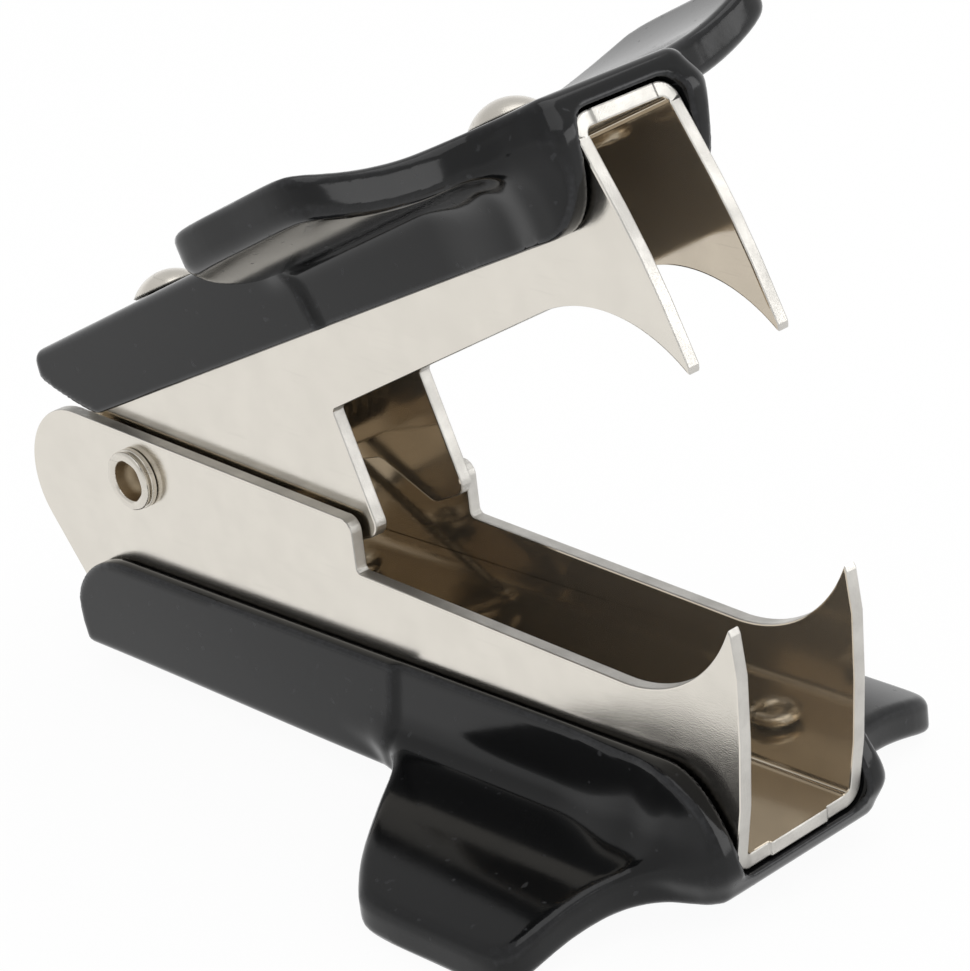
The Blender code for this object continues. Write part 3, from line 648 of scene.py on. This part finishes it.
# ------------------------------------------------------------------ finger grips
# Black injection mouldings, one for each jaw: a channel that hugs the steel, with a wing flared to
# each side for finger and thumb. Every edge is rounded, as it left the polished mould.
GRIP_WALL = 1.07 * MM
GRIP_GAP = 0.18 * MM
GRIP_BACK = 1.4 * MM
WING_TIP = 18.1 * MM
WING_THICK = 2.4 * MM
WING_CAMBER = 1.7 * MM
CAMBER_START = 9.5 * MM
WING_ROOT_X = 22.0 * MM
WING_REAR_X = 33.0 * MM
WING_FRONT_X = 44.0 * MM
BACK_ROUND = 0.8 * MM
SKIRT_ROUND = 0.3 * MM
WING_ROUND = 0.65 * MM
REAR_DRAFT = 0.5 * MM               # the walls lean in towards the rear
WALL_RECESS = 0.40 * MM             # the wall steps in where the wing begins
RECESS_RUN = 0.65 * MM
RECESS_SLANT = 1.2 * MM
FRONT_BULGE = 0.45 * MM             # and swells out again in front of the wing
CHANNEL_ROUND = 0.7 * MM
WEB = 0.25 * MM                     # least fillet between the channel and its wings
WIDER_FILLET = 1.6 * MM             # what the fillet gains towards the front
RIM_ROUND = 0.22 * MM
RELAX_TURNS = 4
PROBE = 0.02 * MM
EDGE_REACH = 0.25 * MM
EDGE_FULL = 3.0                     # curvature that counts as a full edge, per millimetre
CELL = 0.28 * MM


def ease(value):
    """A smooth step: 0 below 0, 1 above 1, and level at both ends."""
    value = np.clip(value, 0, 1)
    return value * value * (3 - 2 * value)


def blended(first, second, width):
    """Union of two distance fields with a fillet of this width between them."""
    share = np.clip(0.5 + 0.5 * (second - first) / width, 0, 1)
    return second + (first - second) * share - width * share * (1 - share)


def rounded_meet(first, second, radius):
    """Intersection of two distance fields with its edge rounded by this radius."""
    first = first + radius
    second = second + radius
    return (np.minimum(np.maximum(first, second), 0) - radius
            + np.hypot(np.maximum(first, 0), np.maximum(second, 0)))


def outline_distance(x, y, outline):
    """Distance to a closed outline, negative inside it."""
    nearest = np.full(np.broadcast(x, y).shape, np.inf)
    inside = np.zeros(nearest.shape, bool)
    for (x0, y0), (x1, y1) in zip(outline, outline[1:] + outline[:1]):
        run, rise = x1 - x0, y1 - y0
        along = np.clip(((x - x0) * run + (y - y0) * rise) / (run * run + rise * rise), 0, 1)
        nearest = np.minimum(nearest, (x - x0 - along * run) ** 2 + (y - y0 - along * rise) ** 2)
        if rise:
            inside ^= ((y0 > y) != (y1 > y)) & (x < x0 + (y - y0) * run / rise)
    return np.where(inside, -1, 1) * np.sqrt(nearest)


def flowing(points, steps=4):
    """A smooth curve through these points."""
    closed = [points[0]] + points + [points[-1]]
    smooth = []
    for p0, p1, p2, p3 in zip(closed, closed[1:], closed[2:], closed[3:]):
        for i in range(steps):
            t = i / steps
            smooth.append(tuple(0.5 * (2 * b + (c - a) * t + (2 * a - 5 * b + 4 * c - d) * t * t
                                       + (3 * b - a - 3 * c + d) * t * t * t)
                                for a, b, c, d in zip(p0, p1, p2, p3)))
    return smooth + [points[-1]]


GRIP_SHAPES = {
    lower: {"rear": -7.6 * MM, "skirt": 6.1 * MM, "rear_run": 5.9 * MM, "rear_power": 2.0,
            "front_run": 4.5 * MM, "front_drop": 5.0 * MM},
    upper: {"rear": -6.4 * MM, "skirt": 4.5 * MM, "rear_run": 4.8 * MM, "rear_power": 1.1,
            "front_run": 3.2 * MM, "front_drop": 3.6 * MM}}
WING_FILLETS = {lower: 1.7 * MM, upper: 1.2 * MM}
WING_ROLLS = {lower: 0.0, upper: 0.085}     # rise of the far wing for each unit across


def wing_plan(jaw, side):
    """Outline of both wings seen from the back; between them it lies inside the channel."""
    run = WING_REAR_X - WING_ROOT_X
    rise = WING_TIP - side
    flare = [(WING_ROOT_X + run * a, side + rise * (0.85 * float(ease(a)) + 0.15 * a))
             for a in (0, 0.12, 0.28, 0.48, 0.68, 0.82, 0.93)]
    edge = [(WING_ROOT_X - 3 * MM, side - 1.5 * MM), (WING_ROOT_X - 1.2 * MM, side - 0.8 * MM)] + flare
    edge += [(WING_REAR_X + 1.4 * MM, WING_TIP), (WING_REAR_X + 5 * MM, WING_TIP),
             (WING_FRONT_X - 2.0 * MM, WING_TIP - 0.05 * MM), (WING_FRONT_X - 0.7 * MM, WING_TIP - 0.6 * MM),
             (WING_FRONT_X - 0.15 * MM, WING_TIP - 1.9 * MM), (WING_FRONT_X + 0.1 * MM, WING_TIP - 5.0 * MM),
             (WING_FRONT_X + 0.45 * MM, side + 4.3 * MM), (WING_FRONT_X + 1.0 * MM, side + 2.7 * MM),
             (WING_FRONT_X + 1.9 * MM, side + 1.6 * MM), (WING_FRONT_X + 3.2 * MM, side + 0.9 * MM),
             (jaw.reach - 0.4 * MM, side + 0.2 * MM), (jaw.reach - 0.2 * MM, side - 1.5 * MM)]
    edge = flowing(edge)
    return edge + [(x, -y) for x, y in reversed(edge)]


def channel_profile(jaw, rear, skirt, rear_run, rear_power, front_run, front_drop):
    """Outline of the channel seen from the side, as (x, distance from the pivot axis to its back).
    Its rear edge slants forward to the skirt, and its front edge ends in a rounded toe."""
    front = jaw.reach + 0.1 * MM
    back = jaw.back(rear)
    slant = [(rear + rear_run * (1 - t), back - 0.3 * MM - (back - 0.3 * MM - skirt)
              * (1 - t ** rear_power) ** (1 / rear_power)) for t in (i / 16 for i in range(17))]
    toe = [(front - front_run + front_run * math.sin(a), skirt + front_drop * (1 - math.cos(a)))
           for a in (math.pi / 2 * i / 12 for i in range(13))]
    top_rear = (rear, back + GRIP_BACK)
    top_front = (front, jaw.back(front) + GRIP_BACK)
    return (slant + rounded(top_rear, slant[-1], top_front, CHANNEL_ROUND)
            + rounded(top_front, top_rear, toe[-1], CHANNEL_ROUND) + toe[::-1])


def grip_field(jaw, plan, profile, rear, skirt):
    """The moulding as a distance field of x, y and the distance from the pivot axis to its back."""
    inside = jaw.half_width + GRIP_GAP
    side = inside + GRIP_WALL
    fillet = WING_FILLETS[jaw]
    roll = WING_ROLLS[jaw]

    def field(x, across, depth):
        """Distance to the moulding's surface, negative inside it."""
        y = np.abs(across)
        out = depth - jaw.back(x)
        up_wall = np.clip((depth - skirt) / (jaw.depth + GRIP_BACK - skirt), 0, 1)
        draft = REAR_DRAFT * ease((WING_ROOT_X - x) / (WING_ROOT_X - rear)) * up_wall
        recess = WALL_RECESS * ease((x - WING_ROOT_X - RECESS_SLANT * (1 - up_wall)) / RECESS_RUN)
        recess = recess * (1 - ease((x - WING_FRONT_X + 8 * MM) / (6 * MM)))
        bulge = FRONT_BULGE * ease((x - WING_FRONT_X + 1.5 * MM) / (3 * MM))
        bulge = bulge * (1 - 0.6 * ease((x - jaw.reach + 2.2 * MM) / (2.2 * MM)))
        half = side - draft - recess + bulge
        edge = SKIRT_ROUND + (BACK_ROUND - SKIRT_ROUND) * ease((up_wall - 0.5) / 0.4)
        channel = rounded_meet(outline_distance(x, depth, profile), y - half, edge)
        bend = np.maximum(y - CAMBER_START, 0) / (WING_TIP - CAMBER_START)
        lift = WING_CAMBER * bend * bend + roll * np.maximum(across - side, 0)
        slab = np.abs(out - GRIP_BACK - lift + WING_THICK / 2) - WING_THICK / 2
        wings = rounded_meet(outline_distance(x, y, plan), slab, WING_ROUND)
        under = ease((GRIP_BACK + lift - out) / WING_THICK)
        wide = fillet + WIDER_FILLET * ease((x - WING_FRONT_X + 8 * MM) / (7 * MM))
        body = blended(channel, wings, WEB + wide * under)
        hollow = rounded_meet(y - inside, out - GRIP_GAP, BEND_OUTSIDE + GRIP_GAP)
        holes = np.minimum(np.hypot(x - RIVET_REAR_X, y), np.hypot(x - RIVET_FRONT_X, y)) - RIVET_HOLE
        return -blended(-body, np.minimum(hollow, holes), RIM_ROUND)

    return field


def net(field, low, high, cell):
    """Vertices and quads of a field's zero surface, one vertex in each grid cell that it crosses."""
    axes = [np.arange(a, b + cell, cell) for a, b in zip(low, high)]
    value = field(axes[0][:, None, None], axes[1][None, :, None], axes[2][None, None, :])
    cells = tuple(n - 1 for n in value.shape)
    total = np.zeros(cells + (3,))
    count = np.zeros(cells)
    crossings = []
    for axis in range(3):
        near = value.take(range(cells[axis]), axis)
        far = value.take(range(1, cells[axis] + 1), axis)
        crossed = (near < 0) != (far < 0)
        share = np.where(crossed, near / np.where(crossed, near - far, 1), 0)
        others = [a for a in range(3) if a != axis]
        for step in ((0, 0), (1, 0), (0, 1), (1, 1)):
            grid = [slice(None)] * 3
            here = [slice(None)] * 3
            for other, shift in zip(others, step):
                grid[other] = slice(1, None) if shift else slice(0, cells[other])
                here[other] = slice(None)
            on = crossed[tuple(grid)]
            count += on
            for other, shift in zip(others, step):
                total[..., other] += on * shift
            total[..., axis] += share[tuple(grid)] * on
        crossings.append((axis, others, np.argwhere(crossed), near))
    used = count > 0
    number = np.full(cells, -1)
    number[used] = np.arange(used.sum())
    corner = np.argwhere(used)
    points = np.array([a[0] for a in axes]) + (corner + total[used] / count[used][:, None]) * cell
    quads = []
    for axis, others, at, near in crossings:
        ok = (at[:, others[0]] > 0) & (at[:, others[1]] > 0)
        ok &= (at[:, others[0]] < cells[others[0]]) & (at[:, others[1]] < cells[others[1]])
        at = at[ok]
        ring = []
        for shift in ((1, 1), (0, 1), (0, 0), (1, 0)):
            moved = at.copy()
            moved[:, others[0]] -= shift[0]
            moved[:, others[1]] -= shift[1]
            ring.append(number[tuple(moved.T)])
        ring = np.stack(ring, 1)
        flip = near[tuple(at.T)] < 0
        if axis == 1:
            flip = ~flip
        ring[~flip] = ring[~flip][:, ::-1]
        quads.append(ring)
    return points, np.concatenate(quads)


def slope_of(field, points, step):
    """The field's value and gradient at these points."""
    parts = []
    for axis in range(3):
        shift = np.zeros(3)
        shift[axis] = step
        ahead, behind = points + shift, points - shift
        parts.append((field(*ahead.T) - field(*behind.T)) / (2 * step))
    return field(*points.T), np.stack(parts, 1)


def moulded(name, field, low, high):
    """The field's surface as a mesh, relaxed so that its cells are even and drawn back onto it. Its
    attribute "edge" says how sharply each point stands out: 1 on an edge, -1 in a corner."""
    points, quads = net(field, low, high, CELL)
    sides = np.concatenate([quads[:, [0, 1]], quads[:, [1, 2]], quads[:, [2, 3]], quads[:, [3, 0]]])
    edges = np.unique(np.sort(sides, 1), axis=0)
    ends = np.concatenate([edges, edges[:, ::-1]])
    count = np.bincount(ends[:, 0], minlength=len(points))[:, None]
    for turn in range(RELAX_TURNS + 1):
        if turn < RELAX_TURNS:
            total = [np.bincount(ends[:, 0], points[ends[:, 1], axis], len(points)) for axis in range(3)]
            points += 0.5 * (np.stack(total, 1) / count - points)
        for _ in range(1 if turn < RELAX_TURNS - 1 else 2):
            value, slope = slope_of(field, points, PROBE)
            step = value[:, None] * slope / np.maximum((slope ** 2).sum(1), 0.3)[:, None]
            points -= np.clip(step, -0.3 * CELL, 0.3 * CELL)
    mesh = bpy.data.meshes.new(name)
    mesh.from_pydata(points.tolist(), [], quads.tolist())
    bend = sum(field(*(points + np.eye(3)[axis] * reach).T) for axis in range(3)
               for reach in (-EDGE_REACH, EDGE_REACH)) / EDGE_REACH ** 2 * MM
    edge = mesh.attributes.new("edge", "FLOAT", "POINT")
    edge.data.foreach_set("value", np.clip(bend / EDGE_FULL, -1, 1).astype(np.float32))
    return put(name, mesh)


BLACK = (0.0050, 0.0052, 0.0055)
# pale tone for dust, and for the edges, which are partly rubbed wear and partly a painted highlight
DUST_WEAR_AND_SHEEN_BLACK = (0.045, 0.046, 0.050)


def black_moulding():
    """Black polished plastic: cloudy gloss, a fine grain, dust, and edges a little brighter: partly rubbed
    wear, partly painted highlight.
    """
    made = bpy.data.materials.new("black_moulding")
    made.use_nodes = True
    tree = made.node_tree
    shader = tree.nodes["Principled BSDF"]
    shader.inputs["IOR"].default_value = 1.50
    shader.inputs["Specular IOR Level"].default_value = 0.29
    place = tree.nodes.new("ShaderNodeTexCoord").outputs["Object"]
    edge_shape = tree.nodes.new("ShaderNodeAttribute")
    edge_shape.attribute_name = "edge"
    cloud = add_noise(tree, place, 6 * MM, 3.0)
    grain = add_noise(tree, place, 0.35 * MM, 2.0)
    dust = add_ramp(tree, add_noise(tree, place, 0.5 * MM, 0.0), 0.78, 0.84)
    # convex edges painted paler: partly rubbed wear, partly a painted highlight on the rounding
    rubbed_and_sheen = add_math(tree, "MULTIPLY", add_ramp(tree, edge_shape.outputs["Fac"], 0.35, 0.9),
                      add_ramp(tree, grain, 0.35, 0.65, 0.4, 1.0))

    def total(first, first_share, second, second_share):
        return add_math(tree, "ADD", add_math(tree, "MULTIPLY", first, first_share),
                        add_math(tree, "MULTIPLY", second, second_share))

    # painted highlight and wear on the edges, plus dust, mixed towards the pale tone
    pale = add_math(tree, "MINIMUM", total(rubbed_and_sheen, 0.45, dust, 0.35), 1.0)
    gloss = add_ramp(tree, cloud, 0.3, 0.7, 0.09, 0.17)
    roughness = add_math(tree, "ADD", gloss, add_math(tree, "MULTIPLY", dust, 0.2))
    height = total(cloud, 3.0, grain, 0.35)
    dress(tree, shader, (BLACK, DUST_WEAR_AND_SHEEN_BLACK), pale, roughness, height, 0.004 * MM)
    return made


grip_black = black_moulding()
for jaw, shape in GRIP_SHAPES.items():
    rear, skirt = shape["rear"], shape["skirt"]
    plan = wing_plan(jaw, jaw.half_width + GRIP_GAP + GRIP_WALL)
    field = grip_field(jaw, plan, channel_profile(jaw, **shape), rear, skirt)
    margin = 3 * CELL
    low = (rear - margin, -WING_TIP - margin, skirt - margin)
    high = (jaw.reach + margin, WING_TIP + margin, jaw.depth + GRIP_BACK + WING_CAMBER + MM + margin)
    grip = moulded(jaw.name + "_finger_grip", field, low, high)
    grip = settle(grip, jaw.place @ Matrix.Diagonal((1, 1, jaw.side, 1)))
    grip.data.materials.append(grip_black)
    grip.data.shade_smooth()
    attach(grip, jaw.name)
    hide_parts(jaw.name + "_grip")


# ------------------------------------------------------------------ grip rivets
# Tubular rivets, nickel plated: a low polished dome outside the grip, and inside the jaw an end
# rolled over on the steel. Two hold each grip.
RIVET_SHANK = 1.1 * MM
RIVET_HEAD = 2.2 * MM
RIVET_DOME = 1.1 * MM
RIVET_CLINCH = 1.65 * MM
RIVET_BORE = 0.65 * MM
RIVET_CURL = 0.75 * MM
RIVET_RIM = 0.12 * MM
RIVET_SEAT = 0.2 * MM


def rivet_tree():
    """Sets one turned rivet at each point."""
    tree, start, end = geometry_tree("set_rivets", {
        "Rivet": "NodeSocketObject", "Lean": "NodeSocketFloat", "Material": "NodeSocketMaterial"})
    source = tree.nodes.new("GeometryNodeObjectInfo")
    tree.links.new(start.outputs["Rivet"], source.inputs["Object"])
    lean = tree.nodes.new("ShaderNodeCombineXYZ")
    tree.links.new(start.outputs["Lean"], lean.inputs["Y"])
    placed = tree.nodes.new("GeometryNodeInstanceOnPoints")
    tree.links.new(start.outputs["Geometry"], placed.inputs["Points"])
    tree.links.new(source.outputs["Geometry"], placed.inputs["Instance"])
    tree.links.new(lean.outputs["Vector"], placed.inputs["Rotation"])
    finish_tree(tree, start, end, placed.outputs["Instances"])
    return tree


sphere = (RIVET_HEAD ** 2 + RIVET_DOME ** 2) / (2 * RIVET_DOME)
under = GRIP_BACK + RIVET_SEAT
dome_end = math.pi / 2 - math.asin(RIVET_HEAD / sphere)
dome = arc((0, under + RIVET_DOME - sphere), sphere, math.pi / 2, dome_end, 20)
inner = -SHEET - RIVET_SEAT
curl = rolled_lip(RIVET_SHANK, RIVET_BORE, RIVET_CLINCH, inner, inner + RIVET_CURL)
clinch = [(r, 2 * inner - z) for r, z in curl]
profile = dome[:-1] + rounded(dome[-1], dome[-2], (RIVET_SHANK, under), RIVET_RIM)
profile += [(RIVET_SHANK, under)] + clinch + [(0.6 * MM, -0.6 * MM), (0, -0.5 * MM)]
rivet = turned("grip_rivet_turned", profile, 48)
uneven(rivet, size=0.45 * MM, depth=0.07 * MM, low=inner - 0.3 * MM, high=inner - RIVET_CURL)
rivet.data.shade_smooth()
rivet_setting = rivet_tree()
for jaw in (lower, upper):
    mesh = bpy.data.meshes.new(jaw.name + "_grip_rivets")
    mesh.from_pydata([(x, 0, jaw.back(x)) for x in (RIVET_REAR_X, RIVET_FRONT_X)], [], [])
    rivets = put(mesh.name, mesh)
    grow(rivets, rivet_setting, {"Rivet": rivet, "Lean": -jaw.taper, "Material": rivet_nickel})
    rivets = settle(rivets, jaw.place @ Matrix.Diagonal((1, 1, jaw.side, 1)))
    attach(rivets, jaw.name)
    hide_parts(jaw.name + "_front_rivet", jaw.name + "_rear_rivet")
bpy.data.objects.remove(rivet)


# ------------------------------------------------------------------ stage, light and camera
# White paper under a pale sky, which is darker overhead in reflections, with one soft light above
# and one lower on the right. The camera looks down a little at the fangs, from in front of them.
PAPER_GLOW = 0.95                   # share of the paper's glow, seen directly or in a reflection
SKY_FILL = 0.85
SKY_OVERHEAD = 0.72
CAMERA_PLACE = Vector((164.75, -122.29, 83.19)) * MM    # from the pivot, in the lower jaw's own frame
CAMERA_YAW = 2.4178
CAMERA_PITCH = -0.4066
CAMERA_ROLL = -0.1204
LENS = 130.23


def white_paper():
    """Paper that shows evenly white to the camera and in reflections, and is plain paper otherwise."""
    made = bpy.data.materials.new("white_paper")
    made.use_nodes = True
    tree = made.node_tree
    shader = tree.nodes["Principled BSDF"]
    shader.inputs["Base Color"].default_value = (0.86, 0.86, 0.86, 1)
    shader.inputs["Roughness"].default_value = 0.9
    glow = tree.nodes.new("ShaderNodeEmission")
    glow.inputs["Strength"].default_value = 1.0
    path = tree.nodes.new("ShaderNodeLightPath")
    mix = tree.nodes.new("ShaderNodeMixShader")
    shown = add_math(tree, "MAXIMUM", path.outputs["Is Camera Ray"], path.outputs["Is Glossy Ray"])
    tree.links.new(add_math(tree, "MULTIPLY", shown, PAPER_GLOW), mix.inputs["Fac"])
    tree.links.new(shader.outputs["BSDF"], mix.inputs[1])
    tree.links.new(glow.outputs["Emission"], mix.inputs[2])
    tree.links.new(mix.outputs["Shader"], tree.nodes["Material Output"].inputs["Surface"])
    return made


bpy.ops.mesh.primitive_plane_add(size=3.0, location=(0, 0, 0))
floor = bpy.context.object
floor.name = "floor"
floor.data.materials.append(white_paper())


def studio():
    """World that is white to the camera, darkens overhead in reflections, and otherwise fills evenly."""
    world = bpy.data.worlds.new("studio")
    world.use_nodes = True
    tree = world.node_tree
    around = tree.nodes["Background"]
    around.inputs["Color"].default_value = (1, 1, 1, 1)
    sky = tree.nodes.new("ShaderNodeTexCoord")
    height = tree.nodes.new("ShaderNodeSeparateXYZ")
    tree.links.new(sky.outputs["Generated"], height.inputs["Vector"])
    ray = tree.nodes.new("ShaderNodeLightPath")
    strength = tree.nodes.new("ShaderNodeMix")
    strength.inputs["A"].default_value = SKY_FILL
    tree.links.new(ray.outputs["Is Glossy Ray"], strength.inputs["Factor"])
    tree.links.new(add_ramp(tree, height.outputs["Z"], 0.10, 0.40, 1.0, SKY_OVERHEAD), strength.inputs["B"])
    tree.links.new(strength.outputs["Result"], around.inputs["Strength"])
    seen = tree.nodes.new("ShaderNodeBackground")
    seen.inputs["Color"].default_value = (1, 1, 1, 1)
    seen.inputs["Strength"].default_value = 1.0
    either = tree.nodes.new("ShaderNodeMixShader")
    tree.links.new(ray.outputs["Is Camera Ray"], either.inputs["Fac"])
    tree.links.new(around.outputs["Background"], either.inputs[1])
    tree.links.new(seen.outputs["Background"], either.inputs[2])
    tree.links.new(either.outputs["Shader"], tree.nodes["World Output"].inputs["Surface"])
    return world


def soft_light(name, place, aim, size, power):
    """A rectangular light at a place, turned to face its aim."""
    lamp = bpy.data.lights.new(name, "AREA")
    lamp.shape = "RECTANGLE"
    lamp.size, lamp.size_y = size
    lamp.energy = power
    made = put(name, lamp)
    made.location = place
    made.rotation_euler = (Vector(aim) - Vector(place)).to_track_quat("-Z", "Y").to_euler()


soft_light("overhead", (0.05, 0.10, 0.45), (0, 0, 0.02), (0.5, 0.35), 0.6)
soft_light("front_right", (0.38, 0.29, 0.20), (0.02, 0, 0.02), (0.32, 0.26), 0.55)

camera_data = bpy.data.cameras.new("camera")
camera_data.sensor_width = 36
camera_data.lens = LENS
camera_data.clip_start = 0.01
camera = put("camera", camera_data)
ahead = Vector((math.cos(CAMERA_PITCH) * math.cos(CAMERA_YAW),
                math.cos(CAMERA_PITCH) * math.sin(CAMERA_YAW), math.sin(CAMERA_PITCH)))
level = ahead.cross(Vector((0, 0, 1))).normalized()
above = level.cross(ahead)
right = level * math.cos(CAMERA_ROLL) + above * math.sin(CAMERA_ROLL)
up = above * math.cos(CAMERA_ROLL) - level * math.sin(CAMERA_ROLL)
turn = Matrix((right, up, -ahead)).transposed().to_4x4()
camera.matrix_world = lower.place @ Matrix.Translation(CAMERA_PLACE) @ turn
scene = bpy.context.scene
scene.world = studio()
scene.camera = camera
scene.view_settings.view_transform = "Standard"
